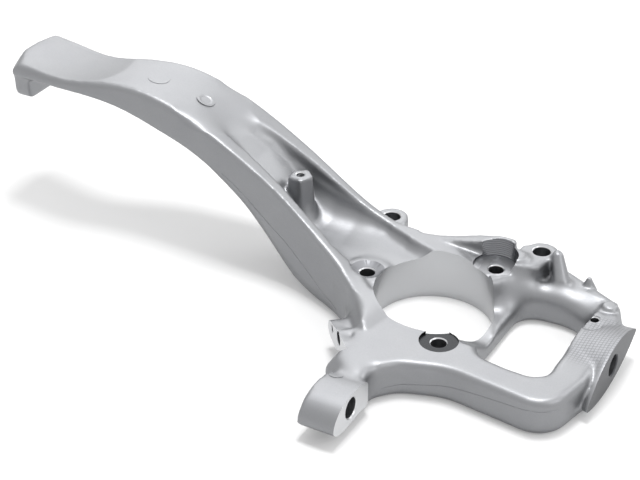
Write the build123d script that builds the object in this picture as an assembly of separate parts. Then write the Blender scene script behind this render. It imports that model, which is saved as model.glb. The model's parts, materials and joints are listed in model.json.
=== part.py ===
from build123d import *
import os
from math import cos, radians, sin, tan

# Front steering knuckle: one forged aluminium piece with a long swan-neck arm.
# Frame: the origin is the centre of the hub bore on the flat wheel side. +Z is the hub
# axis and points inboard, +X points to the lower ball joint, -X to the upper one and
# -Y to the tie rod. Lengths are in mm and angles in degrees.

# Hub bore and the three bolts of the hub bearing
BORE_DIAMETER = 96.0
BORE_PILOT_HEIGHT = 12.0
BORE_RELIEF = 0.6
HUB_CIRCLE_DIAMETER = 120.0
HUB_BOLT_DIAMETER = 12.4
NECK_BOLT_ANGLE = 180.0
FRONT_BOLT_ANGLE = -60.0
BACK_BOLT_ANGLE = 60.0
NECK_SEAT_Z = 36.0
NECK_SEAT_DIAMETER = 17.0
NECK_DISH_ANGLE = 62.0
NECK_DISH_DEPTH = 3.0
FRONT_SEAT_Z = 29.0
FRONT_SEAT_DIAMETER = 31.0
BACK_SEAT_Z = 38.0
BACK_BOSS_DIAMETER = 31.0
BACK_RECESS_X, BACK_RECESS_Y = 27.5, 55.0
BACK_RECESS_DIAMETER = 34.0
BACK_RECESS_TOP_DIAMETER = 37.0

# Plate round the bore and the frame that reaches to the lower ball joint
PLATE_ROOT_Z = 37.0
PLATE_FRONT_Z = 33.2
FRAME_Z = 31.0
FRAME_TOP_RADIUS = 6.0
FRAME_BOTTOM_RADIUS = 3.0
FRAME_FRONT_Y = -82.0
FRAME_END_X = 148.5
FRAME_CORNER_RADIUS = 34.0

# Window between the bore and the lower ball joint
WINDOW_LEFT_X = 57.0
WINDOW_RIGHT_X = 118.5
WINDOW_FRONT_Y = -54.5
WINDOW_BACK_Y = 51.0
WINDOW_CORNER_RADIUS = 19.0

# Low bridge between the bore and the window, and the dish behind the window
BRIDGE_Z = 14.2
BRIDGE_CROWN_Z = 18.5
BRIDGE_FRONT_Y = -50.0
BRIDGE_BACK_Y = 38.0
DISH_RADIUS = 40.0
DISH_Z = 22.5
DISH_Y = 40.0

# Raised back with the two caliper ears
EAR_DIAMETER = 28.0
EAR_BORE_DIAMETER = 14.6
EAR_THICKNESS = 22.0
EAR_RELIEF_DIAMETER = 26.0
NECK_EAR_X, NECK_EAR_Y, NECK_EAR_Z = -78.9, 79.0, 42.0
FRAME_EAR_X, FRAME_EAR_Y, FRAME_EAR_Z = 56.0, 82.7, 46.5
RIM_RIDGE_Z = 44.5
RIM_POCKET_Z = 39.5
BACK_RIDGE_Z = 54.5
BACK_WALL_Y = 78.0

# Rib, pin and button behind the window, and the datum hole in its round spot
RIB_X, RIB_Y, RIB_Z = 70.5, 80.0, 50.0
RIB_FOOT_X, RIB_FOOT_Y = 82.0, 67.0
RIB_RADIUS = 3.4
PIN_X, PIN_Y, PIN_Z = 100.5, 77.0, 38.5
PIN_RADIUS = 2.6
PIN_FOOT_RADIUS = 8.0
BUTTON_X, BUTTON_Y, BUTTON_Z = 127.0, 56.0, 33.5
BUTTON_DIAMETER = 13.0
BUTTON_DISH_DIAMETER = 24.0
DATUM_SPOT_X, DATUM_SPOT_Y, DATUM_SPOT_Z = 124.0, 25.0, 30.2
DATUM_SPOT_DIAMETER = 18.0
DATUM_HOLE_X, DATUM_HOLE_Y = 122.7, 34.8
DATUM_HOLE_DIAMETER = 7.0
DATUM_HOLE_DEPTH = 12.0

# Block of the lower ball joint
BALL_FACE_X = 154.0
BALL_BLOCK_DEPTH = 36.0
BALL_BORE_DIAMETER = 17.5
BALL_BORE_Y = -3.4
BALL_BORE_Z = 21.0
BALL_BLOCK_TOP_Z = 37.0
BALL_BLOCK_BOTTOM_Z = 4.0

# Tie-rod boss
TIE_FACE_X = 7.0
TIE_BOSS_WIDTH = 31.0
TIE_BORE_DIAMETER = 16.5
TIE_BORE_Y = -149.5
TIE_BORE_Z = 22.0

# Pad of the wheel-speed sensor on the left flank
SENSOR_ANGLE = 225.0
SENSOR_FACE_RADIUS = 87.0
SENSOR_PAD_WIDTH = 48.0
SENSOR_PAD_Z = 31.5
SENSOR_PAD_BOTTOM_Z = 14.5
SENSOR_BORE_U, SENSOR_BORE_Z = 27.5, 25.8
SENSOR_SCREW_U, SENSOR_SCREW_Z = 10.0, 23.3
FLANK_Z = 22.0
FLANK_DRAFT = 31.0
SENSOR_BORE_DIAMETER = 11.0
SENSOR_SCREW_DIAMETER = 6.3
SENSOR_BORE_DEPTH = 60.0
SENSOR_SCREW_DEPTH = 18.0

# Swan-neck arm: draft of its flanks and bevel of its flanges
NECK_DRAFT = 3.0
NECK_BEVEL = 3.0

# Post that carries the brake-hose bracket
POST_X, POST_Y = -146.0, 41.5
POST_TOP_Z = 82.0
POST_RADIUS = 11.0
POST_HOLE_DIAMETER = 7.0
POST_HOLE_DEPTH = 20.0

# Head with the tapered seat of the upper ball joint
HEAD_INNER_X = -398.0
HEAD_END_X = -418.0
HEAD_UNDER_Z = 123.0
HOOK_BOTTOM_Z = 101.5
HOOK_RADIUS = 11.0
HEAD_FACET_NORMAL = (-0.62, -0.31, 0.72)
HEAD_DISH_RADIUS = 300.0
HEAD_DISH_DEPTH = 2.5
UPPER_BORE_DIAMETER = 16.0
UPPER_BORE_Y = 34.0
UPPER_BORE_Z = 120.0

# Ball block sections: depth, front y and z, back y and z, top z
BALL_SECTIONS = [
    (0, -56, 9, 45, 26, BALL_BLOCK_TOP_Z),
    (BALL_BLOCK_DEPTH, -38, 9, 46, 22, FRAME_Z),
]

# Arm sections: x, left y, right y, left top z, right top z, parting z, bottom z, bottom inset
NECK_STATIONS = [
    (-20, -76, 58, 31.5, 44, 14, 0, 2),
    (-40, -55, 60, 38.3, 45.5, 14, 0, 2),
    (-60, -33, 65.5, 42.5, 47, 14, 0, 2),
    (-90, -15, 70.5, 54, 54, 14, 0, 2),
    (-120, -3.5, 74, 68.5, 68.5, 18, 6, 2),
    (-150, 3, 77, 85.5, 85.5, 40, 30, 3),
    (-180, 5, 78.5, 102, 102, 69, 60, 4),
    (-210, 6.5, 79, 117, 117, 88, 79, 7),
    (-240, 7.5, 78, 129.5, 129.5, 101, 95, 11),
    (-270, 7.5, 75, 138, 138, 111, 103, 15),
    (-300, 5, 66.5, 141.5, 141.5, 121, 112, 18),
    (-325, 0, 58.5, 141, 141, 127, 118, 19),
    (-350, -3, 59, 139, 139, 129, 121.5, 20),
    (-380, 0, 66, 137, 137, 127, 122, 21),
    (-402, 2.5, 70, 137, 137, 126, 122, 21),
    (-424, 5, 73, 137, 137, 125, 121, 21),
]

# Pocket sections: x, left y, right y, rim z, floor z, run of the wall, floor radius
POCKET_STATIONS = [
    (-17, -46, 44, 70, 37, 3, 12),
    (-36, -36, 49, 70, 37, 3, 12),
    (-57, -19, 56, 72, 37, 3, 12),
    (-79, -7, 61.5, 74, 37, 3, 12),
    (-100, -4, 63, 76, 37, 3, 12),
    (-122, 2, 63.5, 78, 39.5, 3, 12),
    (-146, 8, 63.5, 85, 47, 3, 12),
    (-165, 11.5, 62.5, 95, 68, 5, 14),
    (-181, 13.5, 62, 103, 88, 8, 18),
    (-198, 15, 61.5, 111, 104.5, 11, 20),
    (-216, 16.5, 61.5, 120, 117, 12, 16),
    (-236, 18, 61.5, 134, 134, 12, 14),
]


def polar(radius, angle):
    """Point at a radius and an angle about the hub axis."""
    return radius * cos(radians(angle)), radius * sin(radians(angle))


def rounded(points):
    """Closed face from points that each carry their own corner radius."""
    corners = []
    count = len(points)
    for i, (u, v, radius) in enumerate(points):
        here = Vector(u, v)
        back = Vector(*points[i - 1][:2]) - here
        ahead = Vector(*points[(i + 1) % count][:2]) - here
        half = radians(back.get_angle(ahead)) / 2
        reach = min(radius / tan(half), 0.49 * back.length, 0.49 * ahead.length)
        back, ahead = back.normalized(), ahead.normalized()
        depth = reach / cos(half) - reach * tan(half)
        corners.append((here + back * reach, here + (back + ahead).normalized() * depth,
                        here + ahead * reach, reach > 0))
    edges = []
    for i, (start, middle, end, is_round) in enumerate(corners):
        if is_round:
            edges.append(Edge.make_three_point_arc(start, middle, end))
        edges.append(Edge.make_line(end, corners[(i + 1) % count][0]))
    return make_face(edges)


def along_y(face, low, high):
    """Solid of an (x, z) face between two y values."""
    return Pos(0, low, 0) * extrude(Plane.XZ * face, -(high - low))


def along_x(face, low, high):
    """Solid of a (y, z) face between two x values."""
    return Pos(low, 0, 0) * extrude(Plane.YZ * face, high - low)


def bore_z(x, y, diameter, low, high):
    """Round cutter with a vertical axis."""
    return Pos(x, y, low) * Cylinder(diameter / 2, high - low,
                                     align=(Align.CENTER, Align.CENTER, Align.MIN))


def bore_x(y, z, diameter, low, high):
    """Round cutter with its axis along X."""
    return Pos(low, y, z) * Rot(0, 90, 0) * Cylinder(
        diameter / 2, high - low, align=(Align.CENTER, Align.CENTER, Align.MIN))


def frame():
    """Plate round the bore and the frame to the lower ball joint, with its window."""
    end, front = FRAME_END_X, FRAME_FRONT_Y
    plan = rounded([
        (-84, -18, 5), (-56, -38, 20), (-33, -63, 25), (-28.5, -78, 20), (-28, -104, 20),
        (-22, -119, 4), (2, -127, 4),
        (3, -108, 20), (18, -92, 25), (50, front + 1, 50), (92, front - 4, 60),
        (end - 10, front - 10, FRAME_CORNER_RADIUS), (end, -42, 30), (end - 3, 38, 25),
        (132, 66, 18), (76, 93, 10), (40, 86, 10), (4, 84, 30), (-38, 66, 30), (-84, 60, 5),
    ])
    side = rounded([(-120, -1, 0), (180, -1, 0), (180, FRAME_Z, 0), (20, FRAME_Z, 60),
                    (-8, PLATE_FRONT_Z - 0.5, 60), (-27, PLATE_FRONT_Z, 30), (-46, PLATE_ROOT_Z, 20),
                    (-120, PLATE_ROOT_Z, 0)])
    body = extrude(plan, PLATE_ROOT_Z + 10) & along_y(side, -200, 200)
    body -= window()
    top = body.edges().filter_by_position(Axis.Z, FRAME_Z - 0.5, PLATE_ROOT_Z + 1)
    body = fillet(top.filter_by(lambda e: e.length > 1), FRAME_TOP_RADIUS)
    bottom = body.edges().filter_by_position(Axis.Z, -0.1, 0.1)
    return fillet(bottom, FRAME_BOTTOM_RADIUS)


def window():
    """Cutter of the window, with forging draft to both sides."""
    r = WINDOW_CORNER_RADIUS
    left, right = WINDOW_LEFT_X, WINDOW_RIGHT_X
    front, back = WINDOW_FRONT_Y, WINDOW_BACK_Y
    plan = rounded([
        (left, front + 3, r), (90, front - 2, 60), (right, front - 3, r + 2),
        (right, back - 9, 24), (left + 38, back + 1, 25), (left - 1, back, r + 3),
    ])
    return Pos(0, 0, -5) * extrude(plan, 80)


def bridge_valley():
    """Cutter that lowers the bridge between the bore and the window."""
    low = BRIDGE_Z
    floor = Spline((BRIDGE_FRONT_Y, FRAME_Z + 2), (-38, 26), (-30, 20.5), (-22, 16), (-14, low),
                   (-5, 16), (6, BRIDGE_CROWN_Z), (26, BRIDGE_CROWN_Z), (BRIDGE_BACK_Y - 5, 22.5),
                   (BRIDGE_BACK_Y, BACK_SEAT_Z + 2))
    rim = Polyline((BRIDGE_BACK_Y, BACK_SEAT_Z + 2), (BRIDGE_BACK_Y, 60),
                   (BRIDGE_FRONT_Y, 60), (BRIDGE_FRONT_Y, FRAME_Z + 2))
    return along_x(make_face(floor + rim), 30, 80)


def window_dish():
    """Cutter of the concave shelf behind the window."""
    return bore_x(DISH_Y, DISH_Z + DISH_RADIUS, DISH_RADIUS * 2, 45, WINDOW_RIGHT_X)


def raised_back():
    """Ridge behind the bore, its back wall and the plateau of the frame-side ear."""
    rim_plan = rounded([(-66, 30, 0), (40, 30, 0), (48, 46, 6), (38, 80, 6), (5, 78, 20),
                        (-38, 64, 30), (-66, 66, 0)])
    rim_side = rounded([(-70, 10, 0), (60, 10, 0), (60, RIM_RIDGE_Z - 4, 0),
                        (15, RIM_RIDGE_Z - 3, 40), (-15, RIM_RIDGE_Z, 40), (-70, RIM_RIDGE_Z + 3, 0)])
    rim = extrude(rim_plan, 60) & along_y(rim_side, 0, 120)
    dip_plan = rounded([(-18, 61, 0), (14, 45, 0), (45, 45, 0), (45, 66, 0), (5, 68, 0)])
    dip_side = rounded([(-20, RIM_RIDGE_Z + 1, 0), (16, RIM_POCKET_Z, 20), (60, RIM_POCKET_Z, 0),
                        (60, 80, 0), (-20, 80, 0)])
    rim -= extrude(dip_plan, 90) & along_y(dip_side, 0, 120)
    wall_plan = rounded([(-40, 60, 0), (-15, 60, 10), (16, 65, 10), (37, 64, 4),
                         (37, BACK_WALL_Y, 3), (5, BACK_WALL_Y, 30), (-38, 65, 30)])
    wall_side = rounded([(-60, 10, 0), (60, 10, 0), (60, BACK_RIDGE_Z, 0),
                         (24, BACK_RIDGE_Z, 25), (-30, RIM_RIDGE_Z, 30), (-60, RIM_RIDGE_Z, 0)])
    wall = extrude(wall_plan, 70) & along_y(wall_side, 0, 120)
    plateau_plan = rounded([(41, 50.5, 1.5), (51, 52, 8), (59, 60, 14), (65, 74, 6),
                            (73, 92, 8), (38, 86, 4)])
    plateau = extrude(plateau_plan, FRAME_EAR_Z)
    return rim + wall + plateau


def ear(x, y, top, root_x, root_y):
    """Caliper ear: a round lug with a web to the body."""
    low = top - EAR_THICKNESS
    lug = bore_z(x, y, EAR_DIAMETER, low, top)
    web = make_hull([*(Pos(x, y) * Circle(EAR_DIAMETER / 2 - 2)).edges(),
                     *(Pos(root_x, root_y) * Circle(EAR_DIAMETER / 2)).edges()])
    return lug + Pos(0, 0, low + 3) * extrude(web, EAR_THICKNESS - 5)


def ball_block():
    """Block of the lower ball joint with its machined face."""
    sections = []
    for depth, y_front, z_front, y_back, z_back, top in BALL_SECTIONS:
        middle = (y_front + y_back) / 2 - 8
        crown = ThreePointArc((y_front, z_front), (middle, top - 0.5), (y_back, z_back))
        keel = ThreePointArc((y_back, z_back), (middle + 12, BALL_BLOCK_BOTTOM_Z + 1.5),
                             (y_front, z_front))
        sections.append(Pos(BALL_FACE_X - depth) * (Plane.YZ * make_face(crown + keel)))
    return loft(sections)


def tie_boss():
    """Boss of the tie-rod joint on its short lever."""
    crown = Spline((-176.5, 15.5), (-174, 23), (-169, 28), (-160, 32.5), (-146, 34),
                   (-134, 32.5), (-124, 29.5), (-100, 28.5))
    keel = Spline((-100, 2), (-116, 5), (-132, 9), (-151, 8), (-162, 8), (-171, 10),
                  (-176.5, 15.5))
    profile = make_face(crown + Line((-100, 28.5), (-100, 2)) + keel)
    boss = along_x(profile, TIE_FACE_X - TIE_BOSS_WIDTH, TIE_FACE_X)
    waist = Pos(0, 0, -5) * extrude(rounded([(2, -95, 0), (1, -118, 8), (TIE_FACE_X, -124, 0),
                                             (30, -124, 0), (30, -95, 0)]), 60)
    return boss - waist


def neck():
    """Solid of the swan-neck arm before its pocket is forged in."""
    sections = []
    for x, left, right, z_left, z_right, part, low, inset in NECK_STATIONS:
        lean = tan(radians(NECK_DRAFT))
        left_part = left - lean * (z_left - part)
        right_part = right + lean * (z_right - part)
        section = Polyline(
            (left_part + inset, low), (left_part, part),
            (left, z_left - NECK_BEVEL), (left + NECK_BEVEL, z_left),
            (right - NECK_BEVEL, z_right), (right, z_right - NECK_BEVEL),
            (right_part, part), (right_part - inset, low), close=True)
        sections.append(Plane((x, 0, 0), x_dir=(0, 1, 0), z_dir=(1, 0, 0)) * make_face(section))
    return loft(sections) - Pos(-100, 0, -25) * Box(300, 300, 50)


def neck_pocket():
    """Cutter of the deep channel along the top of the arm."""
    sections = []
    lift = 40.0
    for x, left, right, rim, floor, run, radius in POCKET_STATIONS:
        depth = max(rim - floor, 8.0)
        flare = run * lift / depth
        section = rounded([
            (left + run, floor, radius), (left + run - flare, floor + lift, 0),
            (right - run + flare, floor + lift, 0), (right - run, floor, radius)])
        sections.append(Plane((x, 0, 0), x_dir=(0, 1, 0), z_dir=(1, 0, 0)) * section)
    return loft(sections)


def post():
    """Tapered post that rises from the channel's floor."""
    top = Pos(POST_X, POST_Y, POST_TOP_Z) * fillet(
        (Rot(0, 0, -60) * RegularPolygon(POST_RADIUS, 5)).vertices(), 2.5)
    foot = Pos(POST_X, POST_Y, NECK_SEAT_Z) * fillet(
        (Rot(0, 0, -60) * RegularPolygon(POST_RADIUS * 1.4, 5)).vertices(), 4)
    return loft([foot, top])


def hook():
    """End wall of the head, turned down for the upper ball joint."""
    across = rounded([(6, 134, 2), (5, 126, 6), (8, HOOK_BOTTOM_Z, HOOK_RADIUS),
                      (58, HOOK_BOTTOM_Z, HOOK_RADIUS), (66, 126, 6), (65, 134, 2)])
    along = rounded([(HEAD_END_X - 4, 134, 0), (HEAD_END_X + 3, HOOK_BOTTOM_Z, HOOK_RADIUS),
                     (HEAD_INNER_X, HOOK_BOTTOM_Z, 4), (HEAD_INNER_X, HEAD_UNDER_Z, 8),
                     (HEAD_INNER_X + 18, HEAD_UNDER_Z + 1, 0), (HEAD_INNER_X + 18, 134, 0)])
    return along_x(across, HEAD_END_X - 5, HEAD_INNER_X + 18) & along_y(along, -10, 90)


def head_end():
    """Everything past the rounded end of the head."""
    arc = ThreePointArc((-396, -20), (HEAD_END_X, 44), (-392, 100))
    rest = Polyline((-392, 100), (-460, 100), (-460, -20), (-396, -20))
    beyond = Pos(0, 0, 80) * extrude(make_face(arc + rest), 90)
    facet = Plane((-414, 20, 135.5), z_dir=HEAD_FACET_NORMAL) * Box(
        60, 60, 20, align=(Align.CENTER, Align.CENTER, Align.MIN))
    dish = Pos(-375, 34, 137.5 - HEAD_DISH_DEPTH + HEAD_DISH_RADIUS) * Sphere(HEAD_DISH_RADIUS)
    return beyond + facet + dish


def flank():
    """Drafted flank between the arm, the sensor pad and the tie-rod lever."""
    plan = rounded([(-66, -26, 0), (-57, -42, 20), (-46, -59, 30), (-35, -78, 25),
                    (-35, -118, 6), (-8, -118, 0), (-8, -60, 0), (-40, -15, 0)])
    rise = PLATE_FRONT_Z - 0.6 - FLANK_Z
    return extrude(plan, FLANK_Z) + Pos(0, 0, FLANK_Z) * extrude(plan, rise, taper=FLANK_DRAFT)


def sensor_pad():
    """Pad on the left flank with a level top and a machined face."""
    ux, uy = polar(1, SENSOR_ANGLE)
    plane = Plane((ux * SENSOR_FACE_RADIUS, uy * SENSOR_FACE_RADIUS, 0),
                  x_dir=(-uy, ux, 0), z_dir=(ux, uy, 0))
    width, top, bottom = SENSOR_PAD_WIDTH, SENSOR_PAD_Z, SENSOR_PAD_BOTTOM_Z
    sections = []
    for depth, fall in ((0, 0), (22, 4)):
        face = rounded([(0, top - 2.5 - fall, 1), (-1, bottom, 9), (22, bottom - 3, 14),
                        (33, 18, 12), (width, top + 2 - fall, 1)])
        sections.append(plane.offset(-depth) * face)
    return loft(sections), plane


def bumps():
    """Rib beside the frame-side ear, and the forged pin and button on the back flange."""
    base = (Align.CENTER, Align.CENTER, Align.MIN)
    foot, crest = Vector(RIB_FOOT_X, RIB_FOOT_Y, FRAME_Z - 6), Vector(RIB_X, RIB_Y, RIB_Z)
    lean = crest - foot
    rib = Plane(foot, z_dir=lean) * Cone(RIB_RADIUS + 3, RIB_RADIUS, lean.length, align=base)
    rib += Pos(*crest) * Sphere(RIB_RADIUS)
    rib += bore_z(RIB_X, RIB_Y, RIB_RADIUS * 3, FRAME_Z - 8, RIB_Z - 5)
    low = FRAME_Z - 6
    pin = Pos(PIN_X, PIN_Y, low) * Cone(PIN_FOOT_RADIUS, PIN_RADIUS, PIN_Z - PIN_RADIUS - low, align=base)
    pin += Pos(PIN_X, PIN_Y, PIN_Z - PIN_RADIUS) * Sphere(PIN_RADIUS)
    return rib + pin + bore_z(BUTTON_X, BUTTON_Y, BUTTON_DIAMETER, FRAME_Z - 8, BUTTON_Z)


def main():
    os.makedirs("parts", exist_ok=True)
    bx, by = polar(HUB_CIRCLE_DIAMETER / 2, BACK_BOLT_ANGLE)
    body = frame() + flank() + ball_block()
    body -= bridge_valley()
    body -= window_dish()
    body -= bore_z(BUTTON_X, BUTTON_Y, BUTTON_DISH_DIAMETER, FRAME_Z - 1, FRAME_Z + 9)
    body += raised_back()
    body += bore_z(bx, by, BACK_BOSS_DIAMETER, 0, BACK_SEAT_Z)
    body += ear(NECK_EAR_X, NECK_EAR_Y, NECK_EAR_Z, -68, 52)
    body += neck() + hook()
    body -= neck_pocket()
    body -= head_end()
    body += post() + tie_boss() + bumps()
    body += ear(FRAME_EAR_X, FRAME_EAR_Y, FRAME_EAR_Z, 50, 68)
    pad, plane = sensor_pad()
    body += pad
    body -= bore_z(0, 0, BORE_DIAMETER, -1, BORE_PILOT_HEIGHT + 1)
    body -= bore_z(0, 0, BORE_DIAMETER + 2 * BORE_RELIEF, BORE_PILOT_HEIGHT, 100)
    for angle in (NECK_BOLT_ANGLE, FRONT_BOLT_ANGLE, BACK_BOLT_ANGLE):
        x, y = polar(HUB_CIRCLE_DIAMETER / 2, angle)
        body -= bore_z(x, y, HUB_BOLT_DIAMETER, -1, 100)
    x, y = polar(HUB_CIRCLE_DIAMETER / 2, FRONT_BOLT_ANGLE)
    body -= bore_z(x, y, FRONT_SEAT_DIAMETER, FRONT_SEAT_Z, 100)
    x, y = polar(HUB_CIRCLE_DIAMETER / 2, NECK_BOLT_ANGLE)
    dish_radius = NECK_SEAT_DIAMETER / 2 + NECK_DISH_DEPTH * tan(radians(NECK_DISH_ANGLE))
    body -= Pos(x, y, NECK_SEAT_Z) * Cone(
        NECK_SEAT_DIAMETER / 2, dish_radius, NECK_DISH_DEPTH,
        align=(Align.CENTER, Align.CENTER, Align.MIN))
    body -= bore_z(x, y, 2 * dish_radius, NECK_SEAT_Z + NECK_DISH_DEPTH, 100)
    body -= Pos(BACK_RECESS_X, BACK_RECESS_Y, BACK_SEAT_Z) * Cone(
        BACK_RECESS_DIAMETER / 2, BACK_RECESS_TOP_DIAMETER / 2, BACK_RIDGE_Z - BACK_SEAT_Z + 1,
        align=(Align.CENTER, Align.CENTER, Align.MIN))
    body -= bore_z(DATUM_SPOT_X, DATUM_SPOT_Y, DATUM_SPOT_DIAMETER, DATUM_SPOT_Z, FRAME_Z + 9)
    body -= bore_z(DATUM_HOLE_X, DATUM_HOLE_Y, DATUM_HOLE_DIAMETER,
                   DATUM_SPOT_Z - DATUM_HOLE_DEPTH, FRAME_Z + 9)
    for ex, ey, ez in ((NECK_EAR_X, NECK_EAR_Y, NECK_EAR_Z), (FRAME_EAR_X, FRAME_EAR_Y, FRAME_EAR_Z)):
        body -= bore_z(ex, ey, EAR_RELIEF_DIAMETER, -1, ez - EAR_THICKNESS)
        body -= bore_z(ex, ey, EAR_BORE_DIAMETER, -1, ez + 1)
    body -= bore_x(BALL_BORE_Y, BALL_BORE_Z, BALL_BORE_DIAMETER, 110, 160)
    body -= bore_x(TIE_BORE_Y, TIE_BORE_Z, TIE_BORE_DIAMETER, -40, 20)
    body -= bore_x(UPPER_BORE_Y, UPPER_BORE_Z, UPPER_BORE_DIAMETER, HEAD_END_X - 10, HEAD_INNER_X + 2)
    body -= bore_z(POST_X, POST_Y, POST_HOLE_DIAMETER, POST_TOP_Z - POST_HOLE_DEPTH, POST_TOP_Z + 1)
    for u, z, diameter, depth in (
            (SENSOR_SCREW_U, SENSOR_SCREW_Z, SENSOR_SCREW_DIAMETER, SENSOR_SCREW_DEPTH),
            (SENSOR_BORE_U, SENSOR_BORE_Z, SENSOR_BORE_DIAMETER, SENSOR_BORE_DEPTH)):
        body -= plane * Pos(u, z, -depth) * Cylinder(
            diameter / 2, depth + 5, align=(Align.CENTER, Align.CENTER, Align.MIN))
    export_step(body, "parts/steering_knuckle.step")


main()
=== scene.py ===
"""Looks of a forged aluminium steering knuckle with a long swan-neck arm.

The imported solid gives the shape. Its sharp creases become forging fillets, the machined
bores and faces are cut again with crisp edges, and each surface gets its own finish.
"""

import json
import logging
import math
from dataclasses import dataclass, field
from enum import IntEnum
from typing import Iterable, Sequence

import bmesh
import bpy
import numpy as np
from mathutils import Matrix, Vector
from mathutils.bvhtree import BVHTree

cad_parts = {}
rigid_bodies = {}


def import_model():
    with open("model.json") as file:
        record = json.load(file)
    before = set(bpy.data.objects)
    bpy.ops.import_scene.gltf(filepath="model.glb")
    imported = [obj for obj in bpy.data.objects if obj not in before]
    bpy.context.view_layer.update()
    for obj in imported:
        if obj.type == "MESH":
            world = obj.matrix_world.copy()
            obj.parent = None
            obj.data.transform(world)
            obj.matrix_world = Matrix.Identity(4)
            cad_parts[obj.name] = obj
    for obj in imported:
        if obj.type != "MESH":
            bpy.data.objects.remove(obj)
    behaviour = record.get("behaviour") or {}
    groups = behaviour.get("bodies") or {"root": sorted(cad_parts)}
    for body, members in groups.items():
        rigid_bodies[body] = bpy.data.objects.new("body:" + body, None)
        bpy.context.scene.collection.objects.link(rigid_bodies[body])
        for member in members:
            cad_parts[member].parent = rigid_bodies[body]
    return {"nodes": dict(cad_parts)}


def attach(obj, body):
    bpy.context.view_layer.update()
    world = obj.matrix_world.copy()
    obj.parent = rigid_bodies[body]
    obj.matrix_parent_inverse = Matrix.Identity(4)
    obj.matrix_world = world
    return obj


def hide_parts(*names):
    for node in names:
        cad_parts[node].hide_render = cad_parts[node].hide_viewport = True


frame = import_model()
LOG = logging.getLogger("knuckle")
MM = 0.001
UP = (0.0, 0.0, 1.0)
RIGHT = (1.0, 0.0, 0.0)
# Height above the wheel side, in mm, from which rays look down on the part.
ABOVE = 300.0
# Length of one wave of Blender's wave texture at a scale of 1.
WAVE = 0.314


def linear(hex_colour: str) -> tuple[float, float, float, float]:
    """Turns an sRGB hex colour into a linear one.

    Args:
        hex_colour: six hex digits with a leading hash.

    Returns:
        Red, green, blue and alpha, linear.
    """
    digits = hex_colour.lstrip("#")
    channels = [int(digits[i:i + 2], 16) / 255 for i in (0, 2, 4)]
    linear_channels = [c / 12.92 if c <= 0.04045 else ((c + 0.055) / 1.055) ** 2.4
                       for c in channels]
    return (*linear_channels, 1.0)


def add_node(tree: bpy.types.NodeTree, kind: str, settings: dict | None = None,
             links: dict | None = None) -> bpy.types.Node:
    """Adds one node with its settings and its links.

    Args:
        tree: tree that the node joins.
        kind: the node's type name.
        settings: input values by socket name or number, and plain properties by attribute name.
        links: output sockets by the name or number of the input that they feed.

    Returns:
        The new node.
    """
    node = tree.nodes.new(kind)
    for name, value in (settings or {}).items():
        if isinstance(name, str) and hasattr(node, name) and name not in node.inputs:
            setattr(node, name, value)
        else:
            node.inputs[name].default_value = value
    for name, socket in (links or {}).items():
        tree.links.new(socket, node.inputs[name])
    return node


def metal(name: str) -> tuple[bpy.types.Material, bpy.types.NodeTree, bpy.types.Node]:
    """Starts a bare metal material.

    Args:
        name: the material's name.

    Returns:
        The material, its tree and its shader.
    """
    material = bpy.data.materials.new(name)
    material.use_nodes = True
    shader = material.node_tree.nodes["Principled BSDF"]
    shader.inputs["Metallic"].default_value = 1.0
    return material, material.node_tree, shader


class Surface(IntEnum):
    """Finishes of the knuckle, in the order of its material slots."""

    FORGED = 0
    TURNED = 1
    MILLED = 2
    DRILLED = 3
    NECK_SEAT = 4
    FRONT_SEAT = 5
    BACK_SEAT = 6
    RECESS = 7
    BLOCK = 8
    BALL_FACE = 9


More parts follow.
